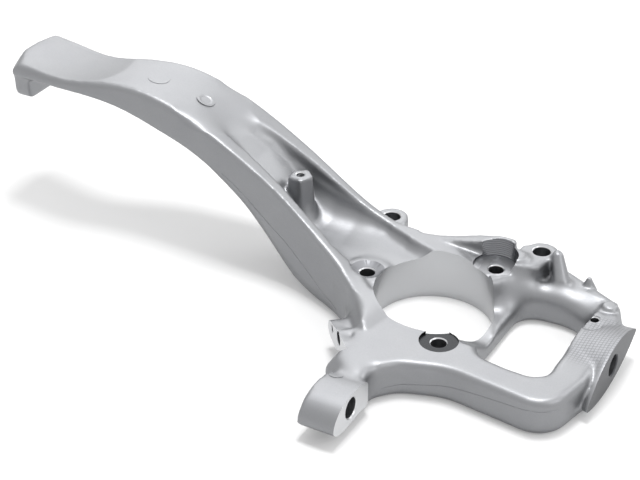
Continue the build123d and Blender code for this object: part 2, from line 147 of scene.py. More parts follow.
@dataclass(frozen=True)
class ForgedSkin:
    """Shot-blasted forged aluminium: matt metal with a fine, even, pitted grain.

    The shot leaves small pits that spread the light, so edges shine softly and flats have no
    reflections. The grain is drawn coarser than the real pits, so that it shows.
    With the grid, the top of the ball joint's block also shows the crossed paths of a
    ball-nosed cutter. The fades are an axis and the two places, in mm, between which the grid
    comes in.
    """

    name: str = "shot_blasted_forged_aluminium"
    grid: bool = False
    colour: str = "#949597"
    shade: str = "#8d8e91"
    roughness: float = 0.46
    grid_colour: str = "#797a7d"
    grid_mm: float = 2.8
    groove_height_mm: float = 0.1
    fades: tuple[tuple[str, float, float], ...] = (
        ("X", 119.0, 125.0), ("Z", 24.0, 28.0), ("Y", -34.0, -16.0), ("Y", 44.0, 36.0))
    grain_mm: float = 0.9
    cloud_mm: float = 28.0
    grain_height_mm: float = 0.05

    def material(self) -> bpy.types.Material:
        """Builds the material.

        Returns:
            The material.
        """
        material, tree, shader = metal(self.name)
        place = add_node(tree, "ShaderNodeTexCoord")
        grain = add_node(tree, "ShaderNodeTexNoise", {
            "Scale": 1 / (self.grain_mm * MM), "Detail": 3.0, "Roughness": 0.6,
        }, {"Vector": place.outputs["Object"]})
        cloud = add_node(tree, "ShaderNodeTexNoise", {
            "Scale": 1 / (self.cloud_mm * MM), "Detail": 3.0, "Roughness": 0.55,
        }, {"Vector": place.outputs["Object"]})
        tone = add_node(tree, "ShaderNodeMix", {
            "data_type": "RGBA", 6: linear(self.shade), 7: linear(self.colour),
        }, {0: cloud.outputs["Fac"]})
        rough = add_node(tree, "ShaderNodeMapRange", {
            "From Min": 0.3, "From Max": 0.7,
            "To Min": self.roughness - 0.05, "To Max": self.roughness + 0.06,
        }, {"Value": grain.outputs["Fac"]})
        tree.links.new(rough.outputs["Result"], shader.inputs["Roughness"])
        bump = add_node(tree, "ShaderNodeBump", {
            "Strength": 0.5, "Distance": self.grain_height_mm * MM,
        }, {"Height": grain.outputs["Fac"]})
        normal, colour = bump.outputs["Normal"], tone.outputs[2]
        if self.grid:
            lines = self._grid(tree, place.outputs["Object"])
            dark = add_node(tree, "ShaderNodeMix", {
                "data_type": "RGBA", 7: linear(self.grid_colour)}, {0: lines, 6: colour})
            groove = add_node(tree, "ShaderNodeBump", {
                "Strength": 0.5, "Distance": self.groove_height_mm * MM, "invert": True,
            }, {"Height": lines, "Normal": normal})
            normal, colour = groove.outputs["Normal"], dark.outputs[2]
        tree.links.new(colour, shader.inputs["Base Color"])
        tree.links.new(normal, shader.inputs["Normal"])
        return material

    def _grid(self, tree: bpy.types.NodeTree, place: bpy.types.NodeSocket) -> bpy.types.NodeSocket:
        """Crossed fine lines that fade out where the block ends.

        Args:
            tree: the material's tree.
            place: object coordinates.

        Returns:
            A socket that is 1 on a line and 0 beside it.
        """
        parts = add_node(tree, "ShaderNodeSeparateXYZ", links={0: place})
        lines = None
        for axis, wobble in (("X", 0.5), ("Y", 0.35)):
            wave = add_node(tree, "ShaderNodeTexWave", {
                "wave_type": "BANDS", "bands_direction": axis,
                "Scale": WAVE / (self.grid_mm * MM), "Distortion": wobble, "Detail": 1.0,
                "Detail Scale": 0.6,
            }, {"Vector": place})
            thin = add_node(tree, "ShaderNodeMapRange", {
                "interpolation_type": "SMOOTHSTEP", "From Min": 0.2, "From Max": 0.04,
            }, {"Value": wave.outputs["Fac"]})
            if lines is None:
                lines = thin.outputs["Result"]
            else:
                lines = add_node(tree, "ShaderNodeMath", {"operation": "MAXIMUM"}, {
                    0: lines, 1: thin.outputs["Result"]}).outputs[0]
        for axis, start, end in self.fades:
            fade = add_node(tree, "ShaderNodeMapRange", {
                "interpolation_type": "SMOOTHSTEP", "From Min": start * MM, "From Max": end * MM,
            }, {"Value": parts.outputs[axis]})
            lines = add_node(tree, "ShaderNodeMath", {"operation": "MULTIPLY"}, {
                0: lines, 1: fade.outputs["Result"]}).outputs[0]
        return lines


@dataclass(frozen=True)
class MachinedFinish:
    """Bare machined aluminium with fine feed marks, across one axis or round a centre.

    The tool leaves a bright face whose marks draw the reflections out in streaks. They are
    drawn coarser than the real feed, so that they show. The darkest colours, of the hole walls,
    the recess wall, the seats in the arm and the plate and the ball joint's face, are painted
    shade.
    """

    name: str
    colour: str
    roughness: float
    feed_mm: float
    feed_height_mm: float
    axis: str = "Z"
    centre_mm: tuple[float, float] | None = None

    def material(self) -> bpy.types.Material:
        """Builds the material.

        Returns:
            The material.
        """
        material, tree, shader = metal(self.name)
        shader.inputs["Base Color"].default_value = linear(self.colour)
        place = add_node(tree, "ShaderNodeTexCoord")
        if self.centre_mm is None:
            pattern = {"wave_type": "BANDS", "bands_direction": self.axis}
            vector = place.outputs["Object"]
        else:
            pattern = {"wave_type": "RINGS", "rings_direction": "Z"}
            x, y = self.centre_mm
            vector = add_node(tree, "ShaderNodeMapping", {
                "Location": (-x * MM, -y * MM, 0.0)}, {0: place.outputs["Object"]}).outputs[0]
        feed = add_node(tree, "ShaderNodeTexWave", {
            **pattern, "Scale": WAVE / (self.feed_mm * MM), "Distortion": 0.4, "Detail": 2.0,
        }, {"Vector": vector})
        rough = add_node(tree, "ShaderNodeMapRange", {
            "To Min": self.roughness - 0.04, "To Max": self.roughness + 0.06,
        }, {"Value": feed.outputs["Fac"]})
        tree.links.new(rough.outputs["Result"], shader.inputs["Roughness"])
        bump = add_node(tree, "ShaderNodeBump", {
            "Strength": 0.4, "Distance": self.feed_height_mm * MM,
        }, {"Height": feed.outputs["Fac"]})
        tree.links.new(bump.outputs["Normal"], shader.inputs["Normal"])
        return material


def new_object(name: str, mesh: bpy.types.Mesh) -> bpy.types.Object:
    """Makes an object of a mesh and puts it in the scene.

    Args:
        name: the object's name.
        mesh: its mesh.

    Returns:
        The object.
    """
    made = bpy.data.objects.new(name, mesh)
    bpy.context.scene.collection.objects.link(made)
    return made


def settle(piece: bpy.types.Object) -> None:
    """Turns a piece with modifiers into a plain mesh and removes the modifiers.

    Args:
        piece: the piece, whose mesh is replaced.
    """
    bpy.context.view_layer.update()
    graph = bpy.context.evaluated_depsgraph_get()
    plain = bpy.data.meshes.new_from_object(piece.evaluated_get(graph))
    piece.modifiers.clear()
    old = piece.data
    piece.data = plain
    bpy.data.meshes.remove(old)


@dataclass(frozen=True)
class Cut:
    """One machining cut: a turned profile on an axis.

    The profile's points are radius and height along the axis, in mm, from the lowest. The
    surfaces are the finish of its floor and of each band above it.
    """

    base: tuple[float, float, float]
    axis: tuple[float, float, float]
    profile: tuple[tuple[float, float], ...]
    surfaces: tuple[Surface, ...]
    segments: int = 96

    def add_to(self, mesh: bmesh.types.BMesh) -> None:
        """Adds the cut's closed solid to a mesh.

        Args:
            mesh: mesh that takes the solid.
        """
        turn = Vector(self.axis).to_track_quat("Z", "Y").to_matrix().to_4x4()
        place = Matrix.Translation(Vector(self.base) * MM) @ turn
        rings = []
        for radius, height in self.profile:
            ring = []
            for i in range(self.segments):
                angle = 2 * math.pi * i / self.segments
                point = Vector((radius * math.cos(angle), radius * math.sin(angle), height)) * MM
                ring.append(mesh.verts.new(place @ point))
            rings.append(ring)
        bottom = mesh.faces.new(list(reversed(rings[0])))
        bottom.material_index = self.surfaces[0]
        for low, high, surface in zip(rings, rings[1:], self.surfaces[1:]):
            for i in range(self.segments):
                j = (i + 1) % self.segments
                face = mesh.faces.new((low[i], low[j], high[j], high[i]))
                face.material_index = surface
        top = mesh.faces.new(rings[-1])
        top.material_index = self.surfaces[-1]


def hole(base: Sequence[float], axis: Sequence[float], diameter: float, depth: float,
         chamfer: float = 0.8, over: float = 3.0) -> Cut:
    """A plain hole with a chamfered mouth.

    Args:
        base: the mouth's centre, in mm.
        axis: direction out of the mouth.
        diameter: the hole's diameter, in mm.
        depth: how deep it goes from the mouth, in mm.
        chamfer: the mouth's chamfer, in mm.
        over: how far the cutter stands out of the mouth, in mm.

    Returns:
        The cut.
    """
    out = Vector(axis).normalized()
    start = Vector(base) - out * depth
    radius = diameter / 2
    profile = ((radius, 0.0), (radius, depth - chamfer), (radius + chamfer, depth),
               (radius + chamfer, depth + over))
    return Cut(tuple(start), tuple(out), profile,
               (Surface.DRILLED, Surface.DRILLED, Surface.MILLED, Surface.MILLED))


def stock(base: Sequence[float], axis: Sequence[float],
          profile: tuple[tuple[float, float], ...], segments: int = 48) -> Cut:
    """Turned forged stock, which is added and not cut.

    Args:
        base: where its axis starts, in mm.
        axis: its axis.
        profile: radius and height of each ring, in mm, from the lowest.
        segments: how many sides a ring has.

    Returns:
        The stock.
    """
    return Cut(tuple(base), tuple(axis), profile, (Surface.FORGED,) * len(profile), segments)


@dataclass
class KnuckleSizes:
    """Sizes of the machining, in mm, in the part's frame.

    An ear is x, y and the height of its top. A ball or tie bore is y, z and diameter, and the
    upper bore too. A sensor hole is its place along the pad, height, diameter, depth and
    whether it goes through. The back recess is x, y and its lowest and highest radius.
    """

    bore_diameter: float = 96.0
    bolt_circle: float = 120.0
    bolt_diameter: float = 12.4
    bolt_angles: tuple[float, float, float] = (180.0, -60.0, 60.0)
    neck_seat_z: float = 36.0
    neck_seat_radius: float = 8.5
    neck_dish_radius: float = 14.1
    neck_dish_depth: float = 3.0
    front_seat_z: float = 29.0
    front_seat_diameter: float = 31.0
    plate_z: float = 31.0
    back_seat_z: float = 38.0
    back_recess: tuple[float, float, float, float] = (27.5, 55.0, 17.0, 18.5)
    back_ridge_z: float = 55.5
    ridge_pitch: float = 1.7
    ridge_depth: float = 0.35
    ear_bore: float = 14.6
    ears: tuple[tuple[float, float, float], ...] = ((-78.9, 79.0, 42.0), (56.0, 82.7, 46.5))
    ear_thickness: float = 22.0
    ball_face_x: float = 154.0
    ball_bore: tuple[float, float, float] = (-3.4, 21.0, 17.5)
    ball_depth: float = 36.0
    tie_face_x: float = 7.0
    tie_bore: tuple[float, float, float] = (-149.5, 22.0, 16.5)
    tie_depth: float = 31.0
    upper_bore: tuple[float, float, float] = (34.0, 120.0, 16.0)
    upper_mouth_x: float = -396.9
    upper_depth: float = 22.2
    datum_hole: tuple[float, float, float] = (122.7, 34.8, 30.2)
    datum_hole_size: tuple[float, float] = (7.0, 12.0)
    datum_spot: tuple[float, float] = (124.0, 25.0)
    post: tuple[float, float, float] = (-146.0, 41.5, 82.0)
    post_hole: tuple[float, float] = (7.0, 20.0)
    sensor_angle: float = 225.0
    sensor_radius: float = 87.0
    sensor_holes: tuple[tuple[float, float, float, float, bool], ...] = (
        (10.0, 23.3, 6.3, 18.0, False), (27.5, 25.8, 11.0, 36.0, True))

    def bolt(self, number: int) -> tuple[float, float]:
        """Centre of one of the hub bolts.

        Args:
            number: 0 in the arm, 1 in the plate, 2 behind the bore.

        Returns:
            Its x and y, in mm.
        """
        angle = math.radians(self.bolt_angles[number])
        radius = self.bolt_circle / 2
        return radius * math.cos(angle), radius * math.sin(angle)

    def pad_directions(self) -> tuple[Vector, Vector]:
        """Directions of the sensor pad.

        Returns:
            The unit vectors out of its face and along it.
        """
        angle = math.radians(self.sensor_angle)
        outwards = Vector((math.cos(angle), math.sin(angle), 0))
        return outwards, Vector((-outwards.y, outwards.x, 0))

    def on_pad(self, along: float, height: float) -> Vector:
        """A point of the sensor pad's face.

        Args:
            along: how far along the pad, in mm.
            height: how high above the wheel side, in mm.

        Returns:
            The point, in mm.
        """
        outwards, sideways = self.pad_directions()
        return outwards * self.sensor_radius + sideways * along + Vector((0, 0, height))


@dataclass
class Forging:
    """The knuckle's body, rounded as the forging die leaves it and then machined.

    Sizes are in mm, in the part's frame. A strip is lofted along x through the rows of its
    table. The flange's rows are x, outer y, inner y and top z of the arm's left flange. The
    floor's are x, the two walls' y, the channel floor's z and each side's fillet as run and
    rise. The slope's are x and z of the channel's far end. The ramp's are x, front y and z of
    the rail behind the window. Stock that is turned has a profile of radius and height. A
    block that faces off an end is the place of its middle on that face, along and up, then
    its length and width. A blend is the centre and the reach of an ellipsoid, and how often
    it is smoothed. A firm spot keeps its edges: centre, radius, the share that points move
    there, and the height that it starts at. The machined ones are the datum spot, the back
    recess and the post.
    """

    sizes: KnuckleSizes = field(default_factory=KnuckleSizes)
    node: str = "steering_knuckle"
    voxel_mm: float = 1.4
    rounds: int = 10
    share: float = 0.5
    kept: float = 0.5
    blend_share: float = 0.6
    blend_fade: float = 1.6
    firm_fade: float = 6.0
    triangles: int = 170_000
    sharp_degrees: float = 32.0
    plug_spare: float = 0.6
    seat_spare: float = 0.4
    seat_overlap: float = 4.0
    recess_spare: float = 0.7
    run_out: float = 12.0
    over: float = 20.0
    end_overlap: float = 3.0
    end_length: float = 8.0
    bore_below: float = 10.0
    bore_height: float = 100.0
    bore_chamfer: float = 1.0
    bore_relief: float = 0.3
    edge_probe: float = 1.3
    edge_inside: float = 12.0
    edge_outside: float = 2.0
    edge_points: int = 240
    block_start_x: float = 110.0
    ball_block: tuple[float, float, float, float] = (0.0, 20.0, 160.0, 60.0)
    tie_block: tuple[float, float, float, float] = (-151.0, 20.0, 56.0, 60.0)
    pad_block: tuple[float, float, float, float] = (24.0, 24.0, 56.0, 36.0)
    block_depth: float = 12.0
    post_foot: tuple[tuple[float, float], ...] = (
        (18.0, -42.0), (16.0, -37.0), (13.5, -32.0), (11.0, -24.0))
    dish_rim: tuple[tuple[float, float], ...] = ((24.0, -6.0), (21.5, 1.2), (17.5, 2.9))
    shoulder_place: tuple[float, float, float] = (43.0, 63.0, 38.0)
    shoulder: tuple[tuple[float, float], ...] = ((19.0, -4.0), (14.0, 5.0), (8.0, 12.0))
    rib_foot: tuple[float, float, float] = (82.0, 67.0, 25.0)
    rib_crest: tuple[float, float, float] = (70.5, 80.0, 50.5)
    rib: tuple[tuple[float, float], ...] = ((9.0, 0.0), (7.0, 12.0))
    rib_crest_radius: float = 4.6
    slope_walls: tuple[float, float] = (20.0, 57.0)
    slope_depth: float = 16.0
    flange_depth: float = 22.0
    flange_inset: float = 1.0
    flange_foot: float = 3.0
    fillet_sink: float = 4.0
    fillet_depth: float = 3.0
    ramp_back: tuple[float, float] = (68.0, 18.0)
    flange: tuple[tuple[float, float, float, float], ...] = (
        (-70.0, -22.0, -14.0, 46.5), (-100.0, -9.2, 1.0, 58.8), (-122.0, -2.6, 8.0, 69.6),
        (-146.0, 2.6, 14.0, 83.3), (-165.0, 4.4, 17.5, 93.8), (-181.0, 5.4, 19.5, 102.5),
        (-198.0, 6.1, 21.0, 111.0), (-216.0, 6.7, 22.0, 119.5), (-236.0, 7.4, 22.0, 128.0),
        (-250.0, 7.5, 20.0, 132.0))
    floor: tuple[tuple[float, float, float, float, tuple[float, float], tuple[float, float]],
                 ...] = (
        (-50.0, -17.0, 52.0, 36.6, (6.0, 1.0), (14.0, 5.0)),
        (-66.0, -9.0, 56.5, 37.0, (12.0, 4.5), (24.0, 6.5)),
        (-82.0, -3.0, 59.0, 37.0, (16.0, 9.5), (28.0, 11.0)),
        (-100.0, 1.0, 60.5, 37.0, (20.0, 15.0), (28.0, 17.0)),
        (-122.0, 8.0, 60.8, 39.5, (20.0, 20.0), (27.0, 21.0)),
        (-146.0, 14.0, 60.8, 48.0, (20.0, 20.0), (25.0, 22.0)),
        (-165.0, 18.0, 58.0, 69.0, (18.0, 14.0), (20.0, 12.0)),
        (-181.0, 22.0, 54.5, 89.0, (14.0, 7.0), (16.0, 7.0)),
        (-198.0, 26.0, 50.0, 103.5, (9.0, 2.0), (9.0, 2.0)),
        (-214.0, 28.0, 48.0, 109.0, (4.0, 0.0), (4.0, 0.0)))
    slope: tuple[tuple[float, float], ...] = (
        (-147.0, 60.0), (-156.0, 68.0), (-165.0, 78.0), (-181.0, 92.5), (-198.0, 104.5),
        (-214.0, 111.5))
    ramp: tuple[tuple[float, float, float], ...] = (
        (34.0, 38.0, 37.6), (44.0, 40.0, 35.5), (54.0, 43.0, 32.5), (62.0, 47.0, 31.0),
        (72.0, 49.0, 30.0), (84.0, 50.0, 29.5), (98.0, 51.0, 28.0))
    blends: tuple[tuple[tuple[float, float, float], tuple[float, float, float], int], ...] = (
        ((40.0, -20.0, 0.0), (300.0, 300.0, 13.0), 22),
        ((52.0, 20.0, 22.0), (14.0, 26.0, 18.0), 90),
        ((46.0, 30.0, 30.0), (18.0, 18.0, 16.0), 120),
        ((80.0, 38.0, 24.0), (42.0, 14.0, 16.0), 110),
        ((54.0, 47.0, 31.0), (20.0, 17.0, 16.0), 80),
        ((88.0, 50.0, 24.0), (38.0, 20.0, 17.0), 240),
        ((-228.0, 42.0, 126.0), (40.0, 38.0, 22.0), 160),
        ((-212.0, 49.0, 118.0), (26.0, 16.0, 18.0), 70),
        ((-62.0, 30.0, 40.0), (16.0, 30.0, 10.0), 30),
        ((-160.0, 38.0, 68.0), (20.0, 26.0, 24.0), 50),
        ((-55.0, -56.0, 34.0), (24.0, 24.0, 14.0), 70),
        ((-332.0, 36.0, 112.0), (34.0, 34.0, 26.0), 30),
        ((128.0, -48.0, 22.0), (16.0, 16.0, 18.0), 30),
        ((-12.0, -114.0, 31.0), (24.0, 18.0, 14.0), 70),
        ((10.0, 72.0, 44.0), (36.0, 10.0, 12.0), 20))
    firm: tuple[tuple[tuple[float, float], float, float, float], ...] = (
        ((73.5, 77.0), 8.0, 0.10, 0.0), ((100.5, 77.0), 6.0, 0.05, 0.0),
        ((127.0, 56.0), 9.0, 0.12, 0.0))
    firm_machined: tuple[tuple[float, float, float], ...] = (
        (7.0, 0.12, 0.0), (19.5, 0.03, 38.5), (11.0, 0.05, 60.0))

    def filled(self) -> bpy.types.Object:
        """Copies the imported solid, merges its points and fills what is machined later.

        Returns:
            An object whose mesh holds the body and the filling as closed shells.
        """
        mesh = frame["nodes"][self.node].data.copy()
        work = bmesh.new()
        work.from_mesh(mesh)
        bmesh.ops.remove_doubles(work, verts=work.verts, dist=0.002 * MM)
        tree = BVHTree.FromBMesh(work)
        self._extend_faces(work)
        self._fill_bores(work)
        self._add_stock(work)
        self._fill_hub(work, tree)
        for face in work.faces:
            face.material_index = Surface.FORGED
        work.to_mesh(mesh)
        work.free()
        mesh.materials.clear()
        return new_object("knuckle_body", mesh)

    def _extend_faces(self, work: bmesh.types.BMesh) -> None:
        """Adds stock on the machined end faces, so that their edges stay crisp when cut.

        Args:
            work: mesh that takes the stock.
        """
        sizes = self.sizes
        right, outwards = Vector(RIGHT), sizes.pad_directions()[0]
        for normal, distance in ((right, sizes.ball_face_x), (right, sizes.tie_face_x),
                                 (outwards, sizes.sensor_radius)):
            flat = [f for f in work.faces
                    if f.normal.dot(normal) > 0.999
                    and abs(f.calc_center_median().dot(normal) - distance * MM) < 0.02 * MM]
            copied = bmesh.ops.duplicate(work, geom=flat)["geom"]
            faces = [g for g in copied if isinstance(g, bmesh.types.BMFace)]
            for vert in {v for f in faces for v in f.verts}:
                vert.co -= normal * self.end_overlap * MM
            raised = bmesh.ops.extrude_face_region(work, geom=faces)["geom"]
            for vert in (g for g in raised if isinstance(g, bmesh.types.BMVert)):
                vert.co += normal * self.end_length * MM
            for face in faces:
                if face.is_valid:
                    face.normal_flip()

    def _fill_bores(self, work: bmesh.types.BMesh) -> None:
        """Fills the small bores, and the seat in the plate, flush with their mouths.

        Args:
            work: mesh that takes the plugs.
        """
        sizes = self.sizes
        for cut in self.small_holes(filling=True):
            cut.add_to(work)
        radius = sizes.front_seat_diameter / 2 + self.seat_spare
        rise = sizes.plate_z - sizes.front_seat_z + self.seat_overlap
        base = (*sizes.bolt(1), sizes.front_seat_z - self.seat_overlap)
        stock(base, UP, ((radius, 0.0), (radius, rise)), 64).add_to(work)

    def _add_stock(self, work: bmesh.types.BMesh) -> None:
        """Adds the fillets, feet and thicker walls that the forging has over the solid.

        Args:
            work: mesh that takes the stock.
        """
        sizes = self.sizes
        stock(sizes.post, UP, self.post_foot).add_to(work)
        near, far = self.slope_walls
        self._strip(work, [(x, ((near, z - self.slope_depth), (far, z - self.slope_depth),
                                (far, z), (near, z))) for x, z in self.slope])
        stock((*sizes.bolt(0), sizes.neck_seat_z), UP, self.dish_rim, 64).add_to(work)
        stock(self.shoulder_place, UP, self.shoulder).add_to(work)
        lean = Vector(self.rib_crest) - Vector(self.rib_foot)
        stock(self.rib_foot, lean, (*self.rib, (self.rib_crest_radius, lean.length)),
              24).add_to(work)
        self._strip(work, [(x, ((y0 + self.flange_inset, z - self.flange_depth),
                                (y1 + self.flange_foot, z - self.flange_depth),
                                (y1, z), (y0 + self.flange_inset, z)))
                           for x, y0, y1, z in self.flange])
        for side in (0, 1):
            rows = []
            for x, left, right, z, *reaches in self.floor:
                run, rise = reaches[side]
                wall, inwards = ((left, 1), (right, -1))[side]
                arc = [(wall + inwards * run * (1 - math.sin(math.radians(a))),
                        z + rise * (1 - math.cos(math.radians(a)))) for a in range(0, 91, 10)]
                outer, below = wall - inwards * self.fillet_sink, z - self.fillet_depth
                rows.append((x, [*arc, (outer, z + rise), (outer, below),
                                 (wall + inwards * run, below)]))
            self._strip(work, rows)
        back, below = self.ramp_back
        self._strip(work, [(x, ((y, below), (back, below), (back, z), (y, z)))
                           for x, y, z in self.ramp])

    def _strip(self, work: bmesh.types.BMesh,
               rows: Sequence[tuple[float, Sequence[tuple[float, float]]]]) -> None:
        """Adds a closed strip lofted through sections across the arm.

        Args:
            work: mesh that takes the strip.
            rows: each section's x and its (y, z) points, in mm, with equal counts.
        """
        rings = [[work.verts.new(Vector((x, y, z)) * MM) for y, z in points]
                 for x, points in rows]
        made = [work.faces.new(rings[0]), work.faces.new(list(reversed(rings[-1])))]
        count = len(rings[0])
        for near, far in zip(rings, rings[1:]):
            for i in range(count):
                j = (i + 1) % count
                made.append(work.faces.new((near[i], far[i], far[j], near[j])))
        bmesh.ops.recalc_face_normals(work, faces=made)

    def _fill_hub(self, work: bmesh.types.BMesh, tree: BVHTree) -> None:
        """Fills the hub bore's edge with a ring as high as the surface beside it.

        Args:
            work: mesh that takes the ring.
            tree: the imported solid's surface, which gives the heights.
        """
        sizes = self.sizes
        radius = sizes.bore_diameter / 2
        seat = Vector((*sizes.bolt(1), 0))
        count = self.edge_points
        heights = []
        for i in range(count):
            angle = 2 * math.pi * i / count
            spot = Vector((math.cos(angle), math.sin(angle), 0)) * (radius + self.edge_probe)
            if (spot - seat).length < sizes.front_seat_diameter / 2 + 1:
                heights.append(math.nan)
                continue
            hit = tree.ray_cast(Vector((spot.x, spot.y, ABOVE)) * MM, -Vector(UP))[0]
            heights.append(hit.z / MM)
        known = np.array(heights)
        index = np.arange(count)
        good = ~np.isnan(known)
        known = np.interp(index, index[good], known[good], period=count)
        rings = []
        for ring_radius in (radius - self.edge_inside, radius + self.edge_outside):
            for level in (0, 1):
                ring = []
                for i in range(count):
                    angle = 2 * math.pi * i / count
                    height = known[i] if level else 0.0
                    ring.append(work.verts.new(Vector((ring_radius * math.cos(angle),
                                                       ring_radius * math.sin(angle),
                                                       height)) * MM))
                rings.append(ring)
        inner_low, inner_high, outer_low, outer_high = rings
        for i in range(count):
            j = (i + 1) % count
            work.faces.new((inner_high[i], inner_high[j], inner_low[j], inner_low[i]))
            work.faces.new((outer_low[i], outer_low[j], outer_high[j], outer_high[i]))
            work.faces.new((inner_high[j], inner_high[i], outer_high[i], outer_high[j]))
            work.faces.new((inner_low[i], inner_low[j], outer_low[j], outer_low[i]))

    def small_holes(self, filling: bool = False) -> Iterable[Cut]:
        """Cuts of every bore but the hub's, or the plugs that fill them first.

        Args:
            filling: true for plugs, a little wider than the hole and flush at its mouth.

        Returns:
            The cuts.
        """
        sizes = self.sizes
        seats = (sizes.neck_seat_z, sizes.front_seat_z, sizes.back_seat_z)
        holes = [((*sizes.bolt(number), seat), UP, sizes.bolt_diameter, seat, True)
                 for number, seat in enumerate(seats)]
        holes += [(ear, UP, sizes.ear_bore, sizes.ear_thickness, True) for ear in sizes.ears]
        for x, (y, z, diameter), depth in (
                (sizes.ball_face_x, sizes.ball_bore, sizes.ball_depth),
                (sizes.tie_face_x, sizes.tie_bore, sizes.tie_depth),
                (sizes.upper_mouth_x, sizes.upper_bore, sizes.upper_depth)):
            holes.append(((x, y, z), RIGHT, diameter, depth, True))
        holes.append((sizes.post, UP, *sizes.post_hole, False))
        holes.append((sizes.datum_hole, UP, *sizes.datum_hole_size, False))
        outwards = sizes.pad_directions()[0]
        for along, height, diameter, depth, through in sizes.sensor_holes:
            holes.append((sizes.on_pad(along, height), outwards, diameter, depth, through))
        for mouth, axis, diameter, depth, through in holes:
            if filling:
                base = Vector(mouth) - Vector(axis) * depth
                radius = diameter / 2 + self.plug_spare
                yield stock(base, axis, ((radius, 0.0), (radius, depth)))
            else:
                yield hole(mouth, axis, diameter, depth + self.run_out * through)

    def spotfaces(self) -> Iterable[Cut]:
        """Seats that the bolt heads stand on.

        Returns:
            The cuts.
        """
        sizes = self.sizes
        radius = sizes.front_seat_diameter / 2
        yield Cut((*sizes.bolt(1), sizes.front_seat_z), UP,
                  ((radius, 0.0), (radius, self.over)), (Surface.FRONT_SEAT,) * 2)
        x, y, low, high = sizes.back_recess
        low, high = low + self.recess_spare, high + self.recess_spare
        rise = sizes.back_ridge_z - sizes.back_seat_z
        steps = 2 * int(rise / sizes.ridge_pitch)
        profile = [(low, 0.0)]
        for i in range(1, steps + 1):
            groove = sizes.ridge_depth * (i % 2)
            profile.append((low + (high - low) * i / steps - groove, rise * i / steps))
        profile.append((high, rise + self.over))
        yield Cut((x, y, sizes.back_seat_z), UP, tuple(profile),
                  (Surface.BACK_SEAT, *[Surface.RECESS] * len(profile)))
        low, high, depth = sizes.neck_seat_radius, sizes.neck_dish_radius, sizes.neck_dish_depth
        yield Cut((*sizes.bolt(0), sizes.neck_seat_z), UP,
                  ((low, 0.0), (high, depth), (high, self.over)), (Surface.NECK_SEAT,) * 3)

    def hub_bore(self) -> Cut:
        """The turned bore, with a chamfer at the wheel side.

        Returns:
            The cut.
        """
        radius = self.sizes.bore_diameter / 2
        wide, plain = radius + self.bore_chamfer, radius + self.bore_relief
        profile = ((wide, 0.0), (wide, self.bore_below),
                   (plain, self.bore_below + self.bore_chamfer), (plain, self.bore_height))
        return Cut((0, 0, -self.bore_below), UP, profile,
                   (*[Surface.MILLED] * 3, Surface.TURNED), 256)

    def faces(self, work: bmesh.types.BMesh) -> None:
        """Adds the blocks that face off the machined ends.

        Args:
            work: mesh that takes the blocks.
        """
        sizes = self.sizes
        blocks = []
        for x, block in ((sizes.ball_face_x, self.ball_block), (sizes.tie_face_x, self.tie_block)):
            y, z, length, width = block
            blocks.append((Vector((x, y, z)), Vector(RIGHT), length, width))
        along, height, length, width = self.pad_block
        outwards = sizes.pad_directions()[0]
        blocks.append((sizes.on_pad(along, height), outwards, length, width))
        for centre, normal, length, width in blocks:
            turn = normal.to_track_quat("Z", "Y").to_matrix().to_4x4()
            size = Matrix.Diagonal((length, width, self.block_depth, 1))
            middle = centre + normal * self.block_depth / 2
            made = bmesh.ops.create_cube(work, size=MM,
                                         matrix=Matrix.Translation(middle * MM) @ turn @ size)
            for face in {f for v in made["verts"] for f in v.link_faces}:
                face.material_index = Surface.MILLED

    def cutter(self, name: str, cuts: Iterable[Cut], with_faces: bool = False) -> bpy.types.Object:
        """Joins cuts that don't touch each other into one cutting object.

        Args:
            name: the object's name.
            cuts: the cuts.
            with_faces: true to add the blocks that face off the ends.

        Returns:
            The object.
        """
        work = bmesh.new()
        for cut in cuts:
            cut.add_to(work)
        if with_faces:
            self.faces(work)
        bmesh.ops.recalc_face_normals(work, faces=work.faces)
        mesh = bpy.data.meshes.new(name)
        work.to_mesh(mesh)
        work.free()
        return new_object(name, mesh)

    def relax(self, mesh: bpy.types.Mesh) -> None:
        """Rounds the creases by averaging each point with its neighbours.

        Args:
            mesh: the skin, whose points are moved.
        """
        count = len(mesh.vertices)
        places = np.empty(count * 3)
        mesh.vertices.foreach_get("co", places)
        places = places.reshape(-1, 3)
        edges = np.empty(len(mesh.edges) * 2, np.int64)
        mesh.edges.foreach_get("vertices", edges)
        edges = edges.reshape(-1, 2)
        ends = np.concatenate([edges[:, 0], edges[:, 1]])
        others = np.concatenate([edges[:, 1], edges[:, 0]])
        degree = np.bincount(ends, minlength=count)[:, None]
        share = self._shares(places)[:, None]

        def average(values: np.ndarray) -> np.ndarray:
            """Mean of each point's neighbours."""
            return np.stack([np.bincount(ends, values[others, axis], count)
                             for axis in range(3)], axis=1) / degree

        before = places.copy()
        for _ in range(self.rounds):
            places += share * (average(places) - places)
        shrunk = places - before
        for _ in range(self.rounds):
            shrunk += self.share * (average(shrunk) - shrunk)
        places -= self.kept * shrunk
        for centre, reach, rounds in self.blends:
            offset = (places - np.array(centre) * MM) / (np.array(reach) * MM)
            near = self.blend_fade * (1 - np.linalg.norm(offset, axis=1))
            weight = np.minimum(np.clip(near, 0, self.blend_share)[:, None], share)
            for _ in range(rounds):
                places += weight * (average(places) - places)
        mesh.vertices.foreach_set("co", places.ravel())
        mesh.update()

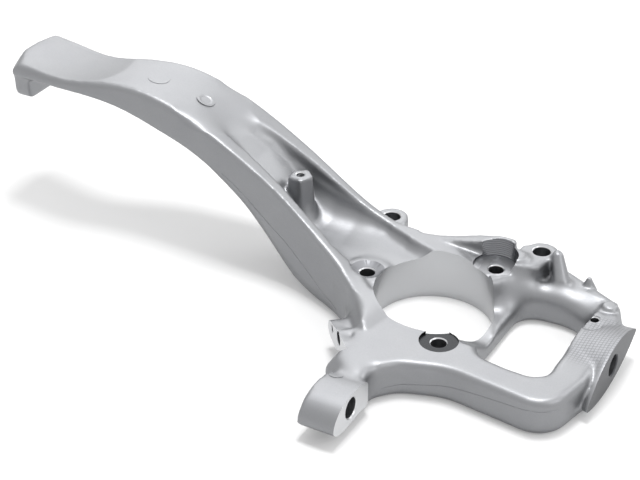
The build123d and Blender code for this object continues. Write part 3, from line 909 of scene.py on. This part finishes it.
    def _shares(self, places: np.ndarray) -> np.ndarray:
        """How far each point moves towards its neighbours in a round.

        Args:
            places: the points, in metres.

        Returns:
            A share for each point.
        """
        sizes = self.sizes
        share = np.full(len(places), self.share)
        own = (sizes.datum_spot, sizes.back_recess[:2], sizes.post[:2])
        machined = ((centre, *spot) for centre, spot in zip(own, self.firm_machined))
        for centre, radius, value, low in (*self.firm, *machined):
            distance = np.hypot(places[:, 0] - centre[0] * MM, places[:, 1] - centre[1] * MM)
            distance[places[:, 2] < low * MM] = np.inf
            blend = np.clip((distance / MM - radius) / self.firm_fade, 0, 1)
            share = np.minimum(share, value + blend * (self.share - value))
        return share

    def _mark_block(self, mesh: bpy.types.Mesh) -> None:
        """Gives the ball joint's block its milling grid and its end face.

        Args:
            mesh: the machined body.
        """
        start, end = self.block_start_x * MM, (self.sizes.ball_face_x - 1) * MM
        for face in mesh.polygons:
            if face.material_index == Surface.FORGED and face.center.x > start:
                face.material_index = Surface.BLOCK
            elif face.material_index == Surface.MILLED and face.center.x > end:
                face.material_index = Surface.BALL_FACE

    def carve(self, body: bpy.types.Object, tool: bpy.types.Object) -> None:
        """Cuts one tool out of the body and removes the tool.

        Args:
            body: the body.
            tool: the cutting object.
        """
        cut = body.modifiers.new("cut", "BOOLEAN")
        cut.operation = "DIFFERENCE"
        cut.solver = "MANIFOLD"
        cut.object = tool
        settle(body)
        bpy.data.objects.remove(tool)

    def build(self, materials: Sequence[bpy.types.Material]) -> bpy.types.Object:
        """Makes the body, machines it and gives it its materials.

        Args:
            materials: one for each Surface, in that order.

        Returns:
            The finished piece.
        """
        body = self.filled()
        skin = body.modifiers.new("skin", "REMESH")
        skin.mode = "VOXEL"
        skin.voxel_size = self.voxel_mm * MM
        skin.use_smooth_shade = True
        settle(body)
        LOG.info("skin: %d points", len(body.data.vertices))
        self.relax(body.data)
        count = sum(len(p.vertices) - 2 for p in body.data.polygons)
        if count > self.triangles:
            thin = body.modifiers.new("thin", "DECIMATE")
            thin.ratio = self.triangles / count
            settle(body)
        for material in materials:
            body.data.materials.append(material)
        self.carve(body, self.cutter("spotfaces", self.spotfaces(), with_faces=True))
        self.carve(body, self.cutter("small_holes", self.small_holes()))
        self.carve(body, self.cutter("hub_bore", (self.hub_bore(),)))
        self._mark_block(body.data)
        body.data.shade_smooth()
        body.data.set_sharp_from_angle(angle=math.radians(self.sharp_degrees))
        LOG.info("body: %d triangles", sum(len(p.vertices) - 2 for p in body.data.polygons))
        return body


def group(name: str, floats: dict[str, float], others: dict[str, str] | None = None
          ) -> tuple[bpy.types.NodeTree, bpy.types.Node, bpy.types.Node]:
    """Starts a Geometry Nodes tree with named inputs.

    Args:
        name: the tree's name.
        floats: named sizes with their values.
        others: further inputs, by name, with their socket types.

    Returns:
        The tree, its input node and its output node.
    """
    tree = bpy.data.node_groups.new(name, "GeometryNodeTree")
    sockets = tree.interface
    sockets.new_socket(name="Geometry", in_out="INPUT", socket_type="NodeSocketGeometry")
    sockets.new_socket(name="Geometry", in_out="OUTPUT", socket_type="NodeSocketGeometry")
    for label, value in floats.items():
        socket = sockets.new_socket(name=label, in_out="INPUT", socket_type="NodeSocketFloat")
        socket.default_value = value
    for label, kind in (others or {}).items():
        sockets.new_socket(name=label, in_out="INPUT", socket_type=kind)
    return tree, tree.nodes.new("NodeGroupInput"), tree.nodes.new("NodeGroupOutput")


def grown(name: str, points: bpy.types.Mesh, tree: bpy.types.NodeTree,
          values: dict[str, object]) -> bpy.types.Object:
    """Runs a Geometry Nodes tree on a mesh and keeps the result as a plain mesh.

    Args:
        name: the piece's name.
        points: the mesh that the tree starts from.
        tree: the tree.
        values: values of its named inputs.

    Returns:
        The finished piece, without its modifier.
    """
    piece = new_object(name, points)
    run = piece.modifiers.new("grow", "NODES")
    run.node_group = tree
    for item in tree.interface.items_tree:
        if item.item_type == "SOCKET" and item.in_out == "INPUT" and item.name in values:
            run[item.identifier] = values[item.name]
    settle(piece)
    return piece


@dataclass
class ForgingMarks:
    """Round ejector marks and the parting line that the dies leave on the skin.

    A mark is x, y, radius and height in mm, then the share of its radius that is sunk and the
    share of its height that is sunk there. A line is x and z in mm.
    """

    body: bpy.types.Object
    material: bpy.types.Material
    marks: tuple[tuple[float, float, float, float, float, float], ...] = (
        (-281.0, 37.6, 9.5, 0.3, 0.0, 0.0),
        (-237.0, 41.5, 7.6, 0.9, 0.55, 0.6),
        (-16.5, -130.0, 5.6, 0.35, 0.0, 0.0),
    )
    arm_line: tuple[tuple[float, float], ...] = (
        (-75.0, 8.5), (-90.0, 13.0), (-105.0, 21.5), (-120.0, 30.5), (-135.0, 41.0),
        (-150.0, 50.0), (-165.0, 61.5), (-180.0, 73.5), (-200.0, 86.0))
    bar_line: tuple[tuple[float, float], ...] = (
        (8.0, 10.0), (38.0, 12.5), (60.0, 15.5), (80.0, 18.0), (100.0, 20.0), (120.0, 22.0),
        (140.0, 22.5))
    line_step: float = 2.5
    line_from_y: float = -250.0
    sharp_degrees: float = 40.0

    def _tree(self) -> bpy.types.NodeTree:
        """Thin round pads that lie on the body, one at each point.

        Returns:
            The tree.
        """
        tree, into, out = group("ejector_marks", {"Depth": 1.0 * MM, "Ramp": 0.14},
                                {"Body": "NodeSocketObject", "Finish": "NodeSocketMaterial"})
        pad = add_node(tree, "GeometryNodeMeshCylinder", {
            "Vertices": 48, "Side Segments": 1, "Fill Segments": 12, "Radius": 1.0,
            "Depth": 2.0})
        height = add_node(tree, "GeometryNodeInputPosition")
        kept = add_node(tree, "GeometryNodeStoreNamedAttribute", {
            "data_type": "FLOAT_VECTOR", "domain": "POINT", "Name": "local"},
            {"Geometry": pad.outputs["Mesh"], "Value": height.outputs[0]})
        named = {label: add_node(tree, "GeometryNodeInputNamedAttribute", {
            "data_type": kind, "Name": label}).outputs["Attribute"]
            for label, kind in (("local", "FLOAT_VECTOR"), ("radius", "FLOAT"),
                                ("height", "FLOAT"), ("inner", "FLOAT"), ("dip", "FLOAT"))}
        placed = add_node(tree, "GeometryNodeInstanceOnPoints", links={
            "Points": into.outputs["Geometry"], "Instance": kept.outputs["Geometry"],
            "Scale": named["radius"]})
        real = add_node(tree, "GeometryNodeRealizeInstances", links={
            "Geometry": placed.outputs["Instances"]})
        body = add_node(tree, "GeometryNodeObjectInfo", {"transform_space": "ORIGINAL"},
                        {"Object": into.outputs["Body"]})
        spot = add_node(tree, "GeometryNodeInputPosition")
        flat = add_node(tree, "ShaderNodeVectorMath", {
            "operation": "MULTIPLY_ADD", 1: (1, 1, 0), 2: (0, 0, ABOVE * MM)},
            {0: spot.outputs[0]})
        ray = add_node(tree, "GeometryNodeRaycast", {
            "data_type": "FLOAT", "Ray Direction": (0, 0, -1), "Ray Length": 1.0},
            {"Target Geometry": body.outputs["Geometry"], "Source Position": flat.outputs[0]})
        parts = add_node(tree, "ShaderNodeSeparateXYZ", links={0: named["local"]})
        level = add_node(tree, "ShaderNodeVectorMath", {
            "operation": "MULTIPLY", 1: (1, 1, 0)}, {0: named["local"]})
        reach = add_node(tree, "ShaderNodeVectorMath", {"operation": "LENGTH"},
                         {0: level.outputs[0]})
        inner_end = add_node(tree, "ShaderNodeMath", {"operation": "ADD"}, {
            0: named["inner"], 1: into.outputs["Ramp"]})
        ring = add_node(tree, "ShaderNodeMapRange", {"interpolation_type": "SMOOTHSTEP"}, {
            "Value": reach.outputs["Value"], "From Min": named["inner"],
            "From Max": inner_end.outputs[0]})
        sunk = add_node(tree, "ShaderNodeMath", {"operation": "SUBTRACT", 0: 1.0}, {
            1: ring.outputs["Result"]})
        dip = add_node(tree, "ShaderNodeMath", {"operation": "MULTIPLY"}, {
            0: sunk.outputs[0], 1: named["dip"]})
        full = add_node(tree, "ShaderNodeMath", {"operation": "SUBTRACT", 0: 1.0}, {
            1: dip.outputs[0]})
        top = add_node(tree, "ShaderNodeMath", {"operation": "MULTIPLY"}, {
            0: full.outputs[0], 1: named["height"]})
        low = add_node(tree, "ShaderNodeMath", {"operation": "MULTIPLY", 1: -1.0}, {
            0: into.outputs["Depth"]})
        is_top = add_node(tree, "FunctionNodeCompare", {
            "data_type": "FLOAT", "operation": "GREATER_THAN", 1: 0.0},
            {0: parts.outputs["Z"]})
        lift = add_node(tree, "GeometryNodeSwitch", {"input_type": "FLOAT"}, {
            "Switch": is_top.outputs[0], "False": low.outputs[0], "True": top.outputs[0]})
        offset = add_node(tree, "ShaderNodeCombineXYZ", links={"Z": lift.outputs[0]})
        moved = add_node(tree, "GeometryNodeSetPosition", links={
            "Geometry": real.outputs["Geometry"], "Position": ray.outputs["Hit Position"],
            "Offset": offset.outputs[0]})
        finished = add_node(tree, "GeometryNodeSetMaterial", links={
            "Geometry": moved.outputs["Geometry"], "Material": into.outputs["Finish"]})
        tree.links.new(finished.outputs["Geometry"], out.inputs[0])
        return tree

    def build_marks(self) -> bpy.types.Object:
        """Builds the ejector marks as one piece.

        Returns:
            The piece.
        """
        points = bpy.data.meshes.new("ejector_marks")
        points.from_pydata([(x * MM, y * MM, 0.0) for x, y, *_ in self.marks], [], [])
        values = zip(*self.marks)
        next(values)
        next(values)
        for label, unit in (("radius", MM), ("height", MM), ("inner", 1.0), ("dip", 1.0)):
            layer = points.attributes.new(label, "FLOAT", "POINT")
            layer.data.foreach_set("value", [v * unit for v in next(values)])
        piece = grown("ejector_marks", points, self._tree(),
                      {"Body": self.body, "Finish": self.material})
        piece.data.shade_smooth()
        piece.data.set_sharp_from_angle(angle=math.radians(self.sharp_degrees))
        return piece

    def _line_tree(self) -> bpy.types.NodeTree:
        """A thin bead along a path: what is left of the flash after trimming.

        Returns:
            The tree.
        """
        tree, into, out = group("trimmed_flash", {"Radius": 0.3 * MM},
                                {"Finish": "NodeSocketMaterial"})
        path = add_node(tree, "GeometryNodeMeshToCurve", links={
            "Mesh": into.outputs["Geometry"]})
        profile = add_node(tree, "GeometryNodeCurvePrimitiveCircle", {"Resolution": 6}, {
            "Radius": into.outputs["Radius"]})
        swept = add_node(tree, "GeometryNodeCurveToMesh", {"Fill Caps": True}, {
            "Curve": path.outputs["Curve"], "Profile Curve": profile.outputs["Curve"]})
        real = add_node(tree, "GeometryNodeRealizeInstances", links={
            "Geometry": swept.outputs["Mesh"]})
        finished = add_node(tree, "GeometryNodeSetMaterial", links={
            "Geometry": real.outputs["Geometry"], "Material": into.outputs["Finish"]})
        tree.links.new(finished.outputs["Geometry"], out.inputs[0])
        return tree

    def build_lines(self) -> list[bpy.types.Object]:
        """Builds the parting line of the arm's left wall and of the frame's front.

        Returns:
            The two pieces.
        """
        work = bmesh.new()
        work.from_mesh(self.body.data)
        skin = BVHTree.FromBMesh(work)
        work.free()
        tree = self._line_tree()
        pieces = []
        for name, line in (("arm_parting_line", self.arm_line),
                           ("bar_parting_line", self.bar_line)):
            xs, zs = zip(*sorted(line))
            count = int((xs[-1] - xs[0]) / self.line_step)
            spots = []
            for x in np.linspace(xs[0], xs[-1], count):
                start = Vector((x, self.line_from_y, float(np.interp(x, xs, zs)))) * MM
                hit = skin.ray_cast(start, Vector((0, 1, 0)))[0]
                if hit is not None:
                    spots.append(hit)
            path = bpy.data.meshes.new(name)
            path.from_pydata(spots, [(i, i + 1) for i in range(len(spots) - 1)], [])
            pieces.append(grown(name, path, tree, {"Finish": self.material}))
        return pieces


@dataclass
class Threads:
    """Thread turns in the tapped holes of the post and the sensor pad."""

    material: bpy.types.Material
    sizes: KnuckleSizes = field(default_factory=KnuckleSizes)
    pitch_mm: float = 1.25
    depth_mm: float = 0.55
    turns: float = 9.0
    chamfer_mm: float = 1.6

    def _tree(self) -> bpy.types.NodeTree:
        """A helical ridge round a bore, swept from a spiral.

        Returns:
            The tree.
        """
        tree, into, out = group("thread_turns", {
            "Radius": 3.5 * MM, "Pitch": self.pitch_mm * MM, "Ridge": self.depth_mm * MM,
            "Turns": self.turns}, {"Finish": "NodeSocketMaterial"})
        height = add_node(tree, "ShaderNodeMath", {"operation": "MULTIPLY"}, {
            0: into.outputs["Pitch"], 1: into.outputs["Turns"]})
        spiral = add_node(tree, "GeometryNodeCurveSpiral", {"Resolution": 28}, {
            "Rotations": into.outputs["Turns"], "Start Radius": into.outputs["Radius"],
            "End Radius": into.outputs["Radius"], "Height": height.outputs[0]})
        profile = add_node(tree, "GeometryNodeCurvePrimitiveCircle", {"Resolution": 4}, {
            "Radius": into.outputs["Ridge"]})
        swept = add_node(tree, "GeometryNodeCurveToMesh", {"Fill Caps": True}, {
            "Curve": spiral.outputs["Curve"], "Profile Curve": profile.outputs["Curve"]})
        turn = add_node(tree, "GeometryNodeInputNamedAttribute", {
            "data_type": "FLOAT_VECTOR", "Name": "turn"})
        placed = add_node(tree, "GeometryNodeInstanceOnPoints", links={
            "Points": into.outputs["Geometry"], "Instance": swept.outputs["Mesh"],
            "Rotation": turn.outputs["Attribute"]})
        real = add_node(tree, "GeometryNodeRealizeInstances", links={
            "Geometry": placed.outputs["Instances"]})
        finished = add_node(tree, "GeometryNodeSetMaterial", links={
            "Geometry": real.outputs["Geometry"], "Material": into.outputs["Finish"]})
        tree.links.new(finished.outputs["Geometry"], out.inputs[0])
        return tree

    def build(self) -> list[bpy.types.Object]:
        """Builds one piece of thread for each tapped hole.

        Returns:
            The pieces.
        """
        sizes = self.sizes
        along, height, diameter, *_ = sizes.sensor_holes[0]
        holes = (("post_thread", Vector(sizes.post), Vector(UP), sizes.post_hole[0]),
                 ("sensor_screw_thread", sizes.on_pad(along, height), sizes.pad_directions()[0],
                  diameter))
        tree = self._tree()
        pieces = []
        for name, place, axis, width in holes:
            start = place - axis * (self.turns * self.pitch_mm + self.chamfer_mm)
            points = bpy.data.meshes.new(name)
            points.from_pydata([start * MM], [], [])
            layer = points.attributes.new("turn", "FLOAT_VECTOR", "POINT")
            layer.data[0].vector = axis.to_track_quat("Z", "Y").to_euler()
            pieces.append(grown(name, points, tree, {
                "Radius": width / 2 * MM, "Finish": self.material}))
        return pieces


@dataclass(frozen=True)
class Lamp:
    """A square soft lamp: its centre, target and side in metres, and its power in watts."""

    name: str
    place: tuple[float, float, float]
    target: tuple[float, float, float]
    size: float
    power: float

    def build(self) -> None:
        """Puts the lamp in the scene."""
        data = bpy.data.lights.new(self.name, "AREA")
        data.shape = "SQUARE"
        data.size = self.size
        data.energy = self.power
        made = bpy.data.objects.new(self.name, data)
        direction = Vector(self.target) - Vector(self.place)
        made.rotation_euler = direction.to_track_quat("-Z", "Y").to_euler()
        made.location = self.place
        bpy.context.scene.collection.objects.link(made)


@dataclass
class Studio:
    """Floor, soft lamps, world and the camera.

    The sky's steps are the height that a direction has and the light that comes from there.
    """

    camera_mm: tuple[float, float, float] = (501.64, -1070.10, 809.32)
    azimuth: float = 29.5
    elevation: float = 31.6
    lens_mm: float = 100.0
    sensor_mm: float = 36.0
    sky: tuple[tuple[float, float], tuple[float, float]] = ((-0.2, 0.2), (0.9, 0.7))
    floor_half: float = 6.0
    floor_colour: str = "#dcdcdc"
    floor_glow: float = 0.2
    lamps: tuple[Lamp, ...] = (
        Lamp("overhead", (-0.1, 0.2, 2.0), (-0.1, 0.0, 0.05), 0.5, 25),
        Lamp("back_panel", (-1.1, 1.7, 1.5), (-0.1, 0.0, 0.05), 1.6, 16),
        Lamp("rear_right_panel", (1.0, 1.7, 1.3), (0.0, 0.0, 0.05), 1.2, 12),
        Lamp("side_panel", (1.7, -0.1, 1.3), (0.0, 0.0, 0.05), 0.8, 7))

    def camera(self) -> None:
        """Sets up the camera at the photograph's viewing angle."""
        turn, rise = math.radians(self.azimuth), math.radians(self.elevation)
        back = Vector((math.sin(turn) * math.cos(rise), -math.cos(turn) * math.cos(rise),
                       math.sin(rise)))
        right = Vector((math.cos(turn), math.sin(turn), 0))
        up = back.cross(right)
        data = bpy.data.cameras.new("camera")
        data.lens = self.lens_mm
        data.sensor_width = self.sensor_mm
        data.sensor_fit = "HORIZONTAL"
        data.clip_start = 0.05
        data.clip_end = 30
        made = bpy.data.objects.new("camera", data)
        rotation = Matrix((right, up, back)).transposed().to_4x4()
        made.matrix_world = Matrix.Translation(Vector(self.camera_mm) * MM) @ rotation
        bpy.context.scene.collection.objects.link(made)
        bpy.context.scene.camera = made

    def _seen(self, tree: bpy.types.NodeTree) -> bpy.types.NodeSocket:
        """A socket that is 1 where the background is seen, direct or in metal or glass.

        Args:
            tree: the world's or the floor's tree.

        Returns:
            The socket.
        """
        path = add_node(tree, "ShaderNodeLightPath")
        direct = add_node(tree, "ShaderNodeMath", {"operation": "MAXIMUM"}, {
            0: path.outputs["Is Camera Ray"], 1: path.outputs["Is Glossy Ray"]})
        return add_node(tree, "ShaderNodeMath", {"operation": "MAXIMUM"}, {
            0: direct.outputs[0], 1: path.outputs["Is Transmission Ray"]}).outputs[0]

    def world(self) -> None:
        """Soft surround, brighter overhead than at the sides."""
        world = bpy.data.worlds.new("surround")
        bpy.context.scene.world = world
        world.use_nodes = True
        tree = world.node_tree
        tree.nodes.clear()
        place = add_node(tree, "ShaderNodeTexCoord")
        height = add_node(tree, "ShaderNodeSeparateXYZ", links={0: place.outputs["Generated"]})
        (low, least), (high, most) = self.sky
        level = add_node(tree, "ShaderNodeMapRange", {
            "From Min": low, "From Max": high, "To Min": least, "To Max": most,
        }, {"Value": height.outputs["Z"]})
        around = add_node(tree, "ShaderNodeBackground", {"Color": (1, 1, 1, 1)},
                          {"Strength": level.outputs["Result"]})
        seen = add_node(tree, "ShaderNodeBackground", {"Color": (1, 1, 1, 1), "Strength": 1.0})
        mix = add_node(tree, "ShaderNodeMixShader", links={
            0: self._seen(tree), 1: around.outputs[0], 2: seen.outputs[0]})
        add_node(tree, "ShaderNodeOutputWorld", links={"Surface": mix.outputs[0]})

    def floor(self) -> None:
        """Pale floor that shows white to the camera and keeps the shadow."""
        mesh = bpy.data.meshes.new("floor")
        half = self.floor_half
        mesh.from_pydata([(-half, -half, 0), (half, -half, 0), (half, half, 0), (-half, half, 0)],
                         [], [(0, 1, 2, 3)])
        made = new_object("floor", mesh)
        material = bpy.data.materials.new("pale_floor")
        material.use_nodes = True
        tree = material.node_tree
        shader = tree.nodes["Principled BSDF"]
        shader.inputs["Base Color"].default_value = linear(self.floor_colour)
        shader.inputs["Roughness"].default_value = 0.9
        shader.inputs["Specular IOR Level"].default_value = 0.0
        glow = add_node(tree, "ShaderNodeEmission", {
            "Color": (1, 1, 1, 1), "Strength": self.floor_glow})
        dark = add_node(tree, "ShaderNodeEmission", {"Strength": 0.0})
        choose = add_node(tree, "ShaderNodeMixShader", links={
            0: self._seen(tree), 1: dark.outputs[0], 2: glow.outputs[0]})
        both = add_node(tree, "ShaderNodeAddShader",
                        links={0: shader.outputs[0], 1: choose.outputs[0]})
        tree.links.new(both.outputs[0], tree.nodes["Material Output"].inputs["Surface"])
        mesh.materials.append(material)

    def build(self) -> None:
        """Sets up the whole studio."""
        self.camera()
        self.world()
        self.floor()
        for lamp in self.lamps:
            lamp.build()
        bpy.context.scene.view_settings.view_transform = "Standard"


def finishes(sizes: KnuckleSizes) -> list[bpy.types.Material]:
    """Builds the finishes.

    Args:
        sizes: sizes of the machining, which give the centres of the turned marks.

    Returns:
        A material for each Surface, in that order.
    """
    made = {
        Surface.FORGED: ForgedSkin(),
        Surface.TURNED: MachinedFinish("turned_aluminium_bore", "#b4b5b7", 0.24, 0.45, 0.004),
        Surface.MILLED: MachinedFinish("milled_aluminium_face", "#c8c9cb", 0.34, 0.8, 0.006),
        # Hole walls and thread turns get a colour darker than bare aluminium: painted shade of the
        # deep holes.
        Surface.DRILLED: MachinedFinish("drilled_aluminium_wall_painted_shade", "#808184", 0.42, 0.5, 0.01),
        # The seat in the arm is coloured dark grey for painted shade; bare faced aluminium is
        # bright.
        Surface.NECK_SEAT: MachinedFinish("faced_seat_in_the_arm_painted_shade", "#77787b", 0.46, 0.9, 0.02,
                                          centre_mm=sizes.bolt(0)),
        # The seat in the plate is coloured near black for painted shade; bare faced aluminium is
        # bright.
        Surface.FRONT_SEAT: MachinedFinish("faced_seat_in_the_plate_painted_shade", "#2f3032", 0.26, 0.9, 0.02,
                                           centre_mm=sizes.bolt(1)),
        Surface.BACK_SEAT: MachinedFinish("faced_seat_behind_the_bore", "#a9aaad", 0.34, 0.9,
                                          0.02, centre_mm=sizes.back_recess[:2]),
        # The recess wall is coloured darker than bare milled aluminium: painted shade inside the
        # recess.
        Surface.RECESS: MachinedFinish("milled_recess_wall_painted_shade", "#808184", 0.2, 1.7, 0.02),
        Surface.BLOCK: ForgedSkin(name="forged_block_with_milling_grid", grid=True),
        # The ball joint's milled end face is coloured dark grey for painted shade; bare milled
        # aluminium is bright.
        Surface.BALL_FACE: MachinedFinish("milled_ball_joint_face_painted_shade", "#505154", 0.36, 1.1, 0.01,
                                          axis="Y"),
    }
    return [made[surface].material() for surface in Surface]


def main() -> None:
    """Builds the knuckle and its studio."""
    logging.basicConfig(level=logging.INFO, format="%(name)s: %(message)s")
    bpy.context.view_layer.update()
    Studio().build()
    materials = finishes(KnuckleSizes())
    body = Forging().build(materials)
    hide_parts("steering_knuckle")
    marks = ForgingMarks(body, materials[Surface.FORGED])
    pieces = [body, marks.build_marks(), *marks.build_lines(),
              *Threads(materials[Surface.DRILLED]).build()]
    for piece in pieces:
        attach(piece, "root")
        LOG.info("%s: %d faces", piece.name, len(piece.data.polygons))


if __name__ == "__main__":
    main()
